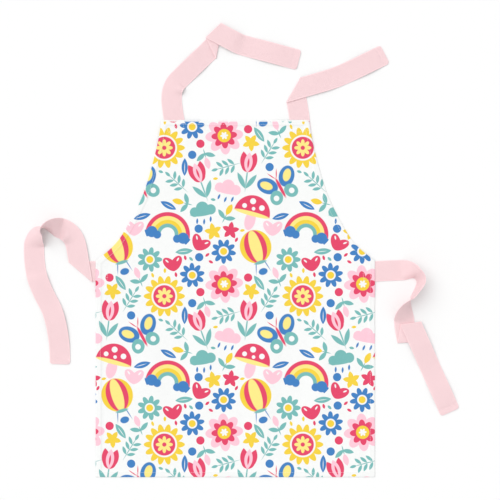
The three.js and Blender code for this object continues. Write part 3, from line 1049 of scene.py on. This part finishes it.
def tape_material(tape, colours):
    """Pink cotton tape in a fine twill, with a firmer woven edge along both sides. Its twill ridges are
    painted lighter and its edge groove painted darker, as shade on their relief.
    """
    material, shader, where = new_material("twill_tape", colours.tape, roughness=0.84, sheen=0.14)
    spread = where.make("ShaderNodeUVMap", {}, uv_map="tape")
    along, across, _ = spread.parts()
    lines = ((along + across) * (math.tau / TWILL_PITCH)).math("SINE")
    cross = ((along - across) * (math.tau / (TWILL_PITCH * 0.5))).math("SINE")
    away, half = across.math("ABSOLUTE"), tape.width / 2
    selvedge = (away - half * SELVEDGE_FROM).math("MULTIPLY", 1 / (half * SELVEDGE_RAMP), clamp=True)
    groove_and_its_shade = (away - half * GROOVE_AT).math("ABSOLUTE")
    groove_and_its_shade = groove_and_its_shade.math("MULTIPLY_ADD", -1 / GROOVE_WIDTH, 1.0, clamp=True)
    streak = spread.vector("MULTIPLY", (1 / SLUB_LENGTH, 1 / SLUB_WIDTH, 0)).noise(1.0, 1)
    blotch = where.noise(BLOTCH, 3)
    # Blotches and streaks are the tape's own uneven tone; the twill lines and the groove are painted light
    # and shade on its relief
    tone_and_painted_shade = blotch * 0.05 + streak * 0.05 + lines * 0.012 - groove_and_its_shade * 0.04 + 0.955
    base = tone_and_painted_shade.math("MINIMUM", 1.0).grey().tint((*colours.tape, 1))
    weave = lines * (1 - selvedge * 0.7) + cross * 0.3 + streak * 1.2 - groove_and_its_shade * 1.6
    finish_material(shader, where, base, weave, TWILL_DEPTH, blotch * 0.1 + 0.8)
    return material


def thread_material(name, seen):
    """Spun thread, with a slight fuzz"""
    material, shader, where = new_material(name, seen, roughness=0.7, sheen=0.2)
    fuzz = where.noise(FUZZ, 2)
    base = (fuzz * 0.16 + 0.86).math("MINIMUM", 1.0).grey().tint((*seen, 1))
    finish_material(shader, where, base, fuzz, THREAD_RELIEF)
    return material


Seat = namedtuple("Seat", "point up")


def even_seats(path, seat_at, pitch):
    """Seats at an even pitch along a line of plan points"""
    seats = []
    spare = 0.0
    for (x0, y0), (x1, y1) in zip(path, path[1:]):
        run = math.hypot(x1 - x0, y1 - y0)
        at = spare
        while at < run:
            x, y = mix(x0, x1, at / run), mix(y0, y1, at / run)
            seats.append(Seat(Vector((x, y, seat_at(x, y))), UP))
            at += pitch
        spare = at - run
    return seats


# A stitch's cross sections along it: how far along, how high it rides and how thick it is there
STITCH_RINGS = [(0.0, -0.9, 0.6), (0.14, 0.1, 0.95), (0.5, 0.42, 1.0), (0.86, 0.1, 0.95), (1.0, -0.9, 0.6)]
STITCH_SIDES = 6

# The longest stitch that is sewn, in pitches, and how far the stitches lie from a tape end's turned edge
LONGEST_STITCH = 1.5
END_STITCH_MARGIN = 1.5 * HEM_STEP

# How finely the hem's line and the panel's area are worked out
HEM_PATH_STEPS = 260
AREA_STEPS = 600


def add_stitches(points, faces, seats, stitch):
    """A row of machine stitches through its seats, each dipping into the cloth at both ends"""
    radius = stitch.thread / 2
    for here, after in zip(seats, seats[1:]):
        run = after.point - here.point
        if run.length > stitch.pitch * LONGEST_STITCH:
            continue
        run *= 1 - stitch.gap / stitch.pitch
        side = run.cross(here.up).normalized()
        first = len(points)
        for along, rise, girth in STITCH_RINGS:
            middle = here.point + run * along + here.up * rise * radius
            for n in range(STITCH_SIDES):
                angle = math.tau * n / STITCH_SIDES
                out = side * math.cos(angle) + here.up * math.sin(angle)
                points.append(middle + out * radius * girth)
        for ring in range(len(STITCH_RINGS) - 1):
            for n in range(STITCH_SIDES):
                a = first + ring * STITCH_SIDES + n
                b = first + ring * STITCH_SIDES + (n + 1) % STITCH_SIDES
                faces.append((a, b, b + STITCH_SIDES, a + STITCH_SIDES))
        last = first + (len(STITCH_RINGS) - 1) * STITCH_SIDES
        faces.append(tuple(first + n for n in reversed(range(STITCH_SIDES))))
        faces.append(tuple(last + n for n in range(STITCH_SIDES)))


def hem_path(panel, inset):
    """The closed line of the hem's stitches"""
    heights = evenly(inset, panel.height - inset, HEM_PATH_STEPS)
    right = [(half_width(panel, y, inset)[0], y) for y in heights]
    left = [(-x, y) for x, y in reversed(right)]
    return right + left + right[:1]


def cut_area(panel):
    """The area of the cloth that the panel is cut from, its turned hem with it"""
    halves = [half_width(panel, y, 0)[0] for y in evenly(0, panel.height, AREA_STEPS)]
    around = 2 * panel.height + panel.width + panel.bib_width
    return sum(halves) * 2 * panel.height / len(halves) + around * panel.hem_width


def box_paths(strap, tape, margin):
    """The box and cross of stitches over a strap's sewn end, in plan"""
    turn = math.radians(strap.heading)

    def at(along, across):
        return (
            strap.x + along * math.cos(turn) - across * math.sin(turn),
            strap.y + along * math.sin(turn) + across * math.cos(turn),
        )

    half = tape.width / 2 - margin
    near, far = -margin, margin - tape.sewn
    a, b, c, d = at(near, half), at(near, -half), at(far, -half), at(far, half)
    return [[a, b, c, d, a], [a, c], [b, d]]


def end_rows(strap, tape, stitch):
    """The seats of the two rows that hold a strap's turned end: over it and under it"""
    end = tape_cuts(tape, strap)[-1]
    half = tape.width / 2 - tape.thickness
    row = end["middle"] - end["forward"] * (tape.end_hem - END_STITCH_MARGIN)
    across = evenly(-half, half, round(2 * half / stitch.pitch))
    rows = []
    for side in (1, -1):
        above = UP * side * (tape.thickness / 2 + (END_HEM_EXTRA if side > 0 else 0))
        rows.append([Seat(row + end["left"] * a + above, UP * side) for a in across])
    return rows


def sewn_piece(name, rows, stitch, thread, drop):
    """One piece of all the stitches in some rows of seats"""
    points, faces = [], []
    for seats in rows:
        add_stitches(points, faces, seats, stitch)
    return new_piece(name, points, faces, thread, drop)


class APRON_OT_panel(bpy.types.Operator):
    """Lays the printed panel down, hemmed all round"""

    bl_idname = "apron.panel"
    bl_label = "Printed panel"

    def execute(self, context):
        panel, tape = context.scene.apron_panel, context.scene.apron_tape
        front, back, insets = panel_grids(panel, tape)
        points, faces = sheet_mesh(front, back)
        material = panel_material(panel, context.scene.apron_colours)
        piece = new_piece("panel_cloth", points, faces, material, panel.height / 2)
        cells = (len(front) - 1) * (len(front[0]) - 1)
        turned = panel.hem_width - HEM_STEP / 2
        hem = [min(insets[v % len(insets)] for v in face) < turned for face in faces]
        shown = [1.0 if n < cells or n >= 2 * cells or hem[n] else 0.0 for n in range(len(faces))]
        printed_faces = piece.data.attributes.new("printed", "FLOAT", "FACE")
        printed_faces.data.foreach_set("value", shown)
        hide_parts("apron_panel")
        cut = (panel.width + 2 * panel.hem_width, panel.height + 2 * panel.hem_width)
        cut_area(panel)
        return {"FINISHED"}


class APRON_OT_straps(bpy.types.Operator):
    """Lays the two neck straps and the two waist ties in their folds"""

    bl_idname = "apron.straps"
    bl_label = "Neck straps and waist ties"

    def execute(self, context):
        panel, tape = context.scene.apron_panel, context.scene.apron_tape
        material = tape_material(tape, context.scene.apron_colours)
        for name, strap in strap_plan(panel, tape).items():
            front, back, places = tape_grids(tape, strap)
            points, faces = sheet_mesh(front, back)
            piece = new_piece(f"{name}_tape", points, faces, material, panel.height / 2)
            spread = piece.data.uv_layers.new(name="tape")
            for loop in piece.data.loops:
                spread.data[loop.index].uv = places[loop.vertex_index % len(places)]
            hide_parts(name)
            cut = strap.length + tape.sewn + tape.end_hem
        return {"FINISHED"}


class APRON_OT_stitches(bpy.types.Operator):
    """Sews the hem, the straps' boxes and the straps' turned ends"""

    bl_idname = "apron.stitches"
    bl_label = "Stitches"

    def execute(self, context):
        scene = context.scene
        panel, tape, stitch = scene.apron_panel, scene.apron_tape, scene.apron_stitch
        straps = list(strap_plan(panel, tape).values())
        white = thread_material("white_thread", scene.apron_colours.ground)
        pink = thread_material("pink_thread", scene.apron_colours.tape)
        drop = panel.height / 2

        def sewn_down(path):
            return even_seats(path, lambda x, y: panel_top(panel, tape, straps, x, y), stitch.pitch)

        hem_row = sewn_down(hem_path(panel, stitch.hem_inset))
        hem = sewn_piece("hem_stitches", [hem_row], stitch, white, drop)

        paths = [path for strap in straps for path in box_paths(strap, tape, stitch.box_margin)]
        box_rows = [sewn_down(path) for path in paths]
        boxes = sewn_piece("strap_box_stitches", box_rows, stitch, white, drop)

        tape_rows = [row for strap in straps for row in end_rows(strap, tape, stitch)]
        ends = sewn_piece("tape_end_stitches", tape_rows, stitch, pink, drop)
        return {"FINISHED"}


# The floor's size, colour and grain, and the lights: an even sky, and a soft lamp far up to the left
FLOOR_SIZE = 60.0
FLOOR_DROP = 0.3 * MM
FLOOR_COLOUR = (0.9, 0.902, 0.9)
FLOOR_GRAIN = 900.0
FLOOR_RELIEF = 0.02 * MM
SKY_LIGHT = 0.79
LAMP_FROM = (-0.55, 0.5, 1.0)
LAMP_SPREAD = 55
LAMP_POWER = 1.28


class APRON_OT_stage(bpy.types.Operator):
    """Sets the pale floor, the soft light and the camera above"""

    bl_idname = "apron.stage"
    bl_label = "Stage"

    def execute(self, context):
        stage = context.scene.apron_stage
        bpy.ops.object.select_all(action="DESELECT")
        bpy.ops.mesh.primitive_plane_add(size=FLOOR_SIZE, location=(0, 0, -FLOOR_DROP))
        floor = context.active_object
        floor.name = "floor"
        material, shader, where = new_material("floor_paper", FLOOR_COLOUR, roughness=0.9, sheen=0.0)
        grain = where.noise(FLOOR_GRAIN, 2)
        base = (grain * 0.01 + 0.99).grey().tint((*FLOOR_COLOUR, 1))
        finish_material(shader, where, base, grain, FLOOR_RELIEF)
        floor.data.materials.append(material)

        bpy.ops.object.light_add(type="SUN")
        lamp = context.active_object
        lamp.name = "soft_lamp"
        lamp.data.angle = math.radians(LAMP_SPREAD)
        lamp.data.energy = LAMP_POWER
        lamp.rotation_euler = Vector(LAMP_FROM).to_track_quat("Z", "Y").to_euler()

        world = bpy.data.worlds.new("studio")
        world.use_nodes = True
        world.node_tree.nodes["Background"].inputs["Color"].default_value = (1, 1, 1, 1)
        world.node_tree.nodes["Background"].inputs["Strength"].default_value = SKY_LIGHT
        context.scene.world = world
        context.scene.view_settings.view_transform = "Standard"

        bpy.ops.object.camera_add(rotation=(0, 0, 0))
        camera = context.active_object
        camera.name = "camera"
        camera.data.lens = stage.lens
        distance = stage.view * stage.lens / camera.data.sensor_width
        camera.location = (stage.across, stage.up, distance)
        context.scene.camera = camera
        return {"FINISHED"}


class APRON_PT_sidebar(bpy.types.Panel):
    """Lists the apron's pieces and the stage"""

    bl_idname = "APRON_PT_sidebar"
    bl_label = "Kids Apron"
    bl_space_type = "VIEW_3D"
    bl_region_type = "UI"
    bl_category = "Apron"

    def draw(self, context):
        for operator in OPERATORS:
            self.layout.operator(operator.bl_idname)


OPERATORS = (APRON_OT_panel, APRON_OT_straps, APRON_OT_stitches, APRON_OT_stage)
GROUPS = {
    "apron_panel": ApronPanelSizes,
    "apron_tape": ApronTapeSizes,
    "apron_stitch": ApronStitchSizes,
    "apron_colours": ApronColours,
    "apron_stage": ApronStageSizes,
}


def register():
    for cls in (*GROUPS.values(), *OPERATORS, APRON_PT_sidebar):
        bpy.utils.register_class(cls)
    for name, group in GROUPS.items():
        setattr(bpy.types.Scene, name, bpy.props.PointerProperty(type=group))


def unregister():
    for name in GROUPS:
        delattr(bpy.types.Scene, name)
    for cls in reversed((*GROUPS.values(), *OPERATORS, APRON_PT_sidebar)):
        bpy.utils.unregister_class(cls)


def main():
    register()
    bpy.ops.apron.panel()
    bpy.ops.apron.straps()
    bpy.ops.apron.stitches()
    bpy.ops.apron.stage()


if __name__ == "__main__":
    main()
